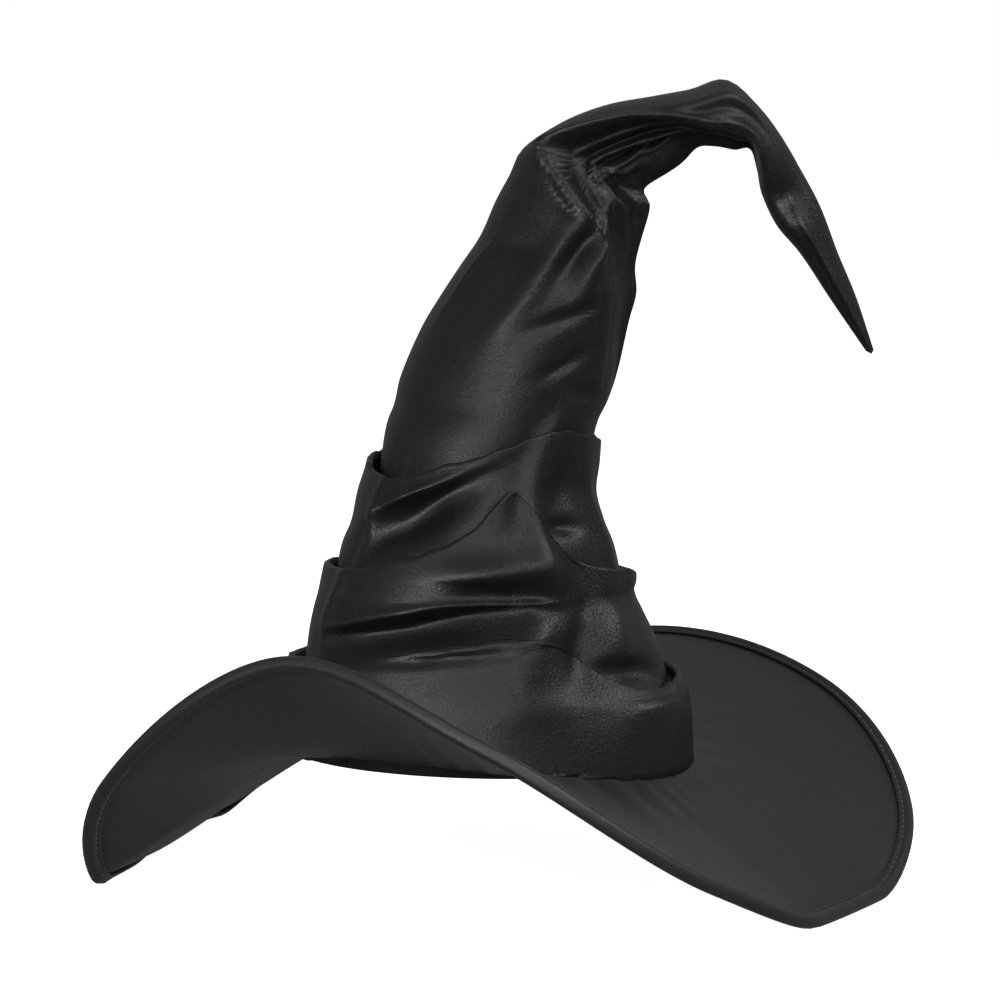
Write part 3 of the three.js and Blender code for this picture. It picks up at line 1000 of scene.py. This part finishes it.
    def rows(self) -> np.ndarray:
        """Rows of points from the opening to the tip, with every tuck's folded layers.

        Returns:
            Points by row and column, in the hat's frame.
        """
        angle = np.arange(self.columns) * 2 * math.pi / self.columns
        made = []
        for tier, count in enumerate(self.tier_rows):
            if tier == 0:
                start = 0 * angle
            else:
                start = self.tuck_edge(tier - 1, angle) - self.tuck_depth * self.presence(tier - 1, angle)
            last = tier == len(self.tier_rows) - 1
            end = 0 * angle + self.tiers[tier][0][-1] if last else self.tuck_edge(tier, angle)
            for share in np.linspace(0, 1, count + 1):
                made.append(self.tier_points(tier, angle, start + (end - start) * share))
            if last:
                continue
            for down, blend, rise in self.tuck_layers:
                place = end - down * self.tuck_depth * self.presence(tier, angle)
                outer, inner = self.tier_points(tier, angle, place), self.tier_points(tier + 1, angle, place)
                made.append(outer * (1 - blend) + inner * blend + (0, 0, rise))
        points = np.array(made)
        lift = self.brim.ply_gap / 2 + self.brim.ply_thickness + self.brim.clearance
        foot = 0 * angle + self.foot + self.foot_gap
        points[0] = self.brim.surface(angle + TURN, foot, 0 * angle + lift) - self.brim.shift
        points[-1] = points[-1].mean(0)
        return points + self.brim.shift

    def build(self) -> bpy.types.Object:
        """Lay the crown's cloth and give it its wall.

        Returns:
            The piece.
        """
        points = self.rows()
        outward = Vector(points[0, 0] - points[0].mean(0))
        piece = cloth("crown_cloth", points, outward)
        thicken(piece, self.wall)
        return piece


@dataclass
class Studio:
    """Camera, pale floor and soft lights. The camera stands at the photograph's angle."""

    azimuth: float = 30.0
    elevation: float = 6.0
    distance: float = 1.75
    lens: float = 131.04
    aim_right: float = 0.00616
    aim_up: float = 0.1177
    sky_low: float = 0.16
    sky_high: float = 0.38
    sky_fade: float = 0.5
    sensor: float = 36.0
    floor_radius: float = 30.0
    floor_tone: float = 0.92
    floor_roughness: float = 0.9
    floor_glow: float = 0.95
    lamps: tuple[Lamp, ...] = (
        Lamp("key", side=0.35, toward=1.6, height=0.85, size=(0.8, 1.2), power=66.0),
        Lamp("side key", side=0.9, toward=1.4, height=0.9, size=(0.5, 1.1), power=8.0),
        Lamp("left fill", side=-1.5, toward=0.9, height=0.6, size=(0.4, 1.4), power=6.0),
    )

    def axes(self) -> tuple:
        """Directions to the picture's right, back towards the camera, and up.

        Returns:
            Three directions of length 1.
        """
        turn, rise = math.radians(self.azimuth), math.radians(self.elevation)
        right = Vector((math.cos(turn), math.sin(turn), 0))
        back = Vector((math.sin(turn) * math.cos(rise), -math.cos(turn) * math.cos(rise), math.sin(rise)))
        return right, back, back.cross(right)

    def camera(self, brim: Brim) -> None:
        """Set the camera up from the middle of the head opening.

        Args:
            brim: The brim round that opening.
        """
        right, back, up = self.axes()
        opening = Vector(brim.shift) + Vector((0, 0, brim.opening_height))
        target = opening + right * self.aim_right + up * self.aim_up
        data = bpy.data.cameras.new("camera")
        data.lens, data.sensor_width = self.lens, self.sensor
        made = bpy.data.objects.new("camera", data)
        made.location = target + back * self.distance
        made.rotation_euler = back.to_track_quat("Z", "Y").to_euler()
        bpy.context.scene.collection.objects.link(made)
        bpy.context.scene.camera = made
        self.target = target

    def softbox(self, lamp: Lamp) -> None:
        """Hang a soft light that faces the hat.

        Args:
            lamp: Its place, size and power.
        """
        right, back, _ = self.axes()
        level = Vector((back.x, back.y, 0)).normalized()
        data = bpy.data.lights.new(lamp.name, "AREA")
        data.shape, data.energy = "RECTANGLE", lamp.power
        data.size, data.size_y = lamp.size
        made = bpy.data.objects.new(lamp.name, data)
        over = Vector((0, 0, lamp.height))
        made.location = self.target + right * lamp.side + level * lamp.toward + over
        made.rotation_euler = (made.location - self.target).to_track_quat("Z", "Y").to_euler()
        bpy.context.scene.collection.objects.link(made)

    def floor(self) -> None:
        """Lay a plain pale floor."""
        shape = bmesh.new()
        bmesh.ops.create_circle(shape, cap_ends=True, segments=64, radius=self.floor_radius)
        piece = finished("floor", shape)
        paper = bpy.data.materials.new("pale floor")
        paper.use_nodes = True
        shader = paper.node_tree.nodes["Principled BSDF"]
        shader.inputs["Base Color"].default_value = (*[self.floor_tone] * 3, 1.0)
        shader.inputs["Roughness"].default_value = self.floor_roughness
        shader.inputs["Emission Color"].default_value = (1.0, 1.0, 1.0, 1.0)
        shader.inputs["Emission Strength"].default_value = self.floor_glow
        piece.data.materials.append(paper)
        piece.visible_glossy = False

    def world(self) -> None:
        """Surround the hat with soft light that fades downwards, on a plain white background."""
        sky = bpy.data.worlds.new("studio white")
        sky.use_nodes = True
        nodes, links = sky.node_tree.nodes, sky.node_tree.links
        seen, around = nodes["Background"], nodes.new("ShaderNodeBackground")
        seen.inputs["Color"].default_value = (1.0, 1.0, 1.0, 1.0)
        seen.inputs["Strength"].default_value = 1.0
        direction = nodes.new("ShaderNodeTexCoord")
        parts = nodes.new("ShaderNodeSeparateXYZ")
        rise = nodes.new("ShaderNodeMapRange")
        rise.inputs["From Min"].default_value = -self.sky_fade
        rise.inputs["From Max"].default_value = self.sky_fade
        rise.inputs["To Min"].default_value = self.sky_low
        rise.inputs["To Max"].default_value = self.sky_high
        links.new(direction.outputs["Object"], parts.inputs["Vector"])
        links.new(parts.outputs["Z"], rise.inputs["Value"])
        links.new(rise.outputs["Result"], around.inputs["Strength"])
        path, choice = nodes.new("ShaderNodeLightPath"), nodes.new("ShaderNodeMixShader")
        links.new(path.outputs["Is Camera Ray"], choice.inputs["Fac"])
        links.new(around.outputs["Background"], choice.inputs[1])
        links.new(seen.outputs["Background"], choice.inputs[2])
        links.new(choice.outputs["Shader"], nodes["World Output"].inputs["Surface"])
        bpy.context.scene.world = sky
        bpy.context.scene.view_settings.view_transform = "Standard"


def main() -> None:
    """Build the studio and the hat, piece by piece."""
    logging.basicConfig(level=logging.INFO, format="%(message)s")
    brim = Brim()
    brim.fit_to("edge_binding")
    studio = Studio()
    studio.camera(brim)
    studio.world()
    studio.floor()
    for lamp in studio.lamps:
        studio.softbox(lamp)
    brim_satin, binding_satin = BRIM_SATIN.material(), BINDING_SATIN.material()
    thread = THREAD.material()
    crown = Crown(brim).build()
    attach(crown, "crown_satin", CROWN_SATIN.material(), "crown")
    top, under, binding = brim.ply(Face.TOP), brim.ply(Face.UNDER), brim.binding()
    attach(top, "brim_satin", brim_satin, "brim_top")
    attach(under, "brim_satin", brim_satin, "brim_under")
    attach(binding, "binding_satin", binding_satin, "edge_binding")
    rows = [brim.stitches(face) for face in Face]
    for row in rows:
        attach(row, "binding_satin", thread)


if __name__ == "__main__":
    main()
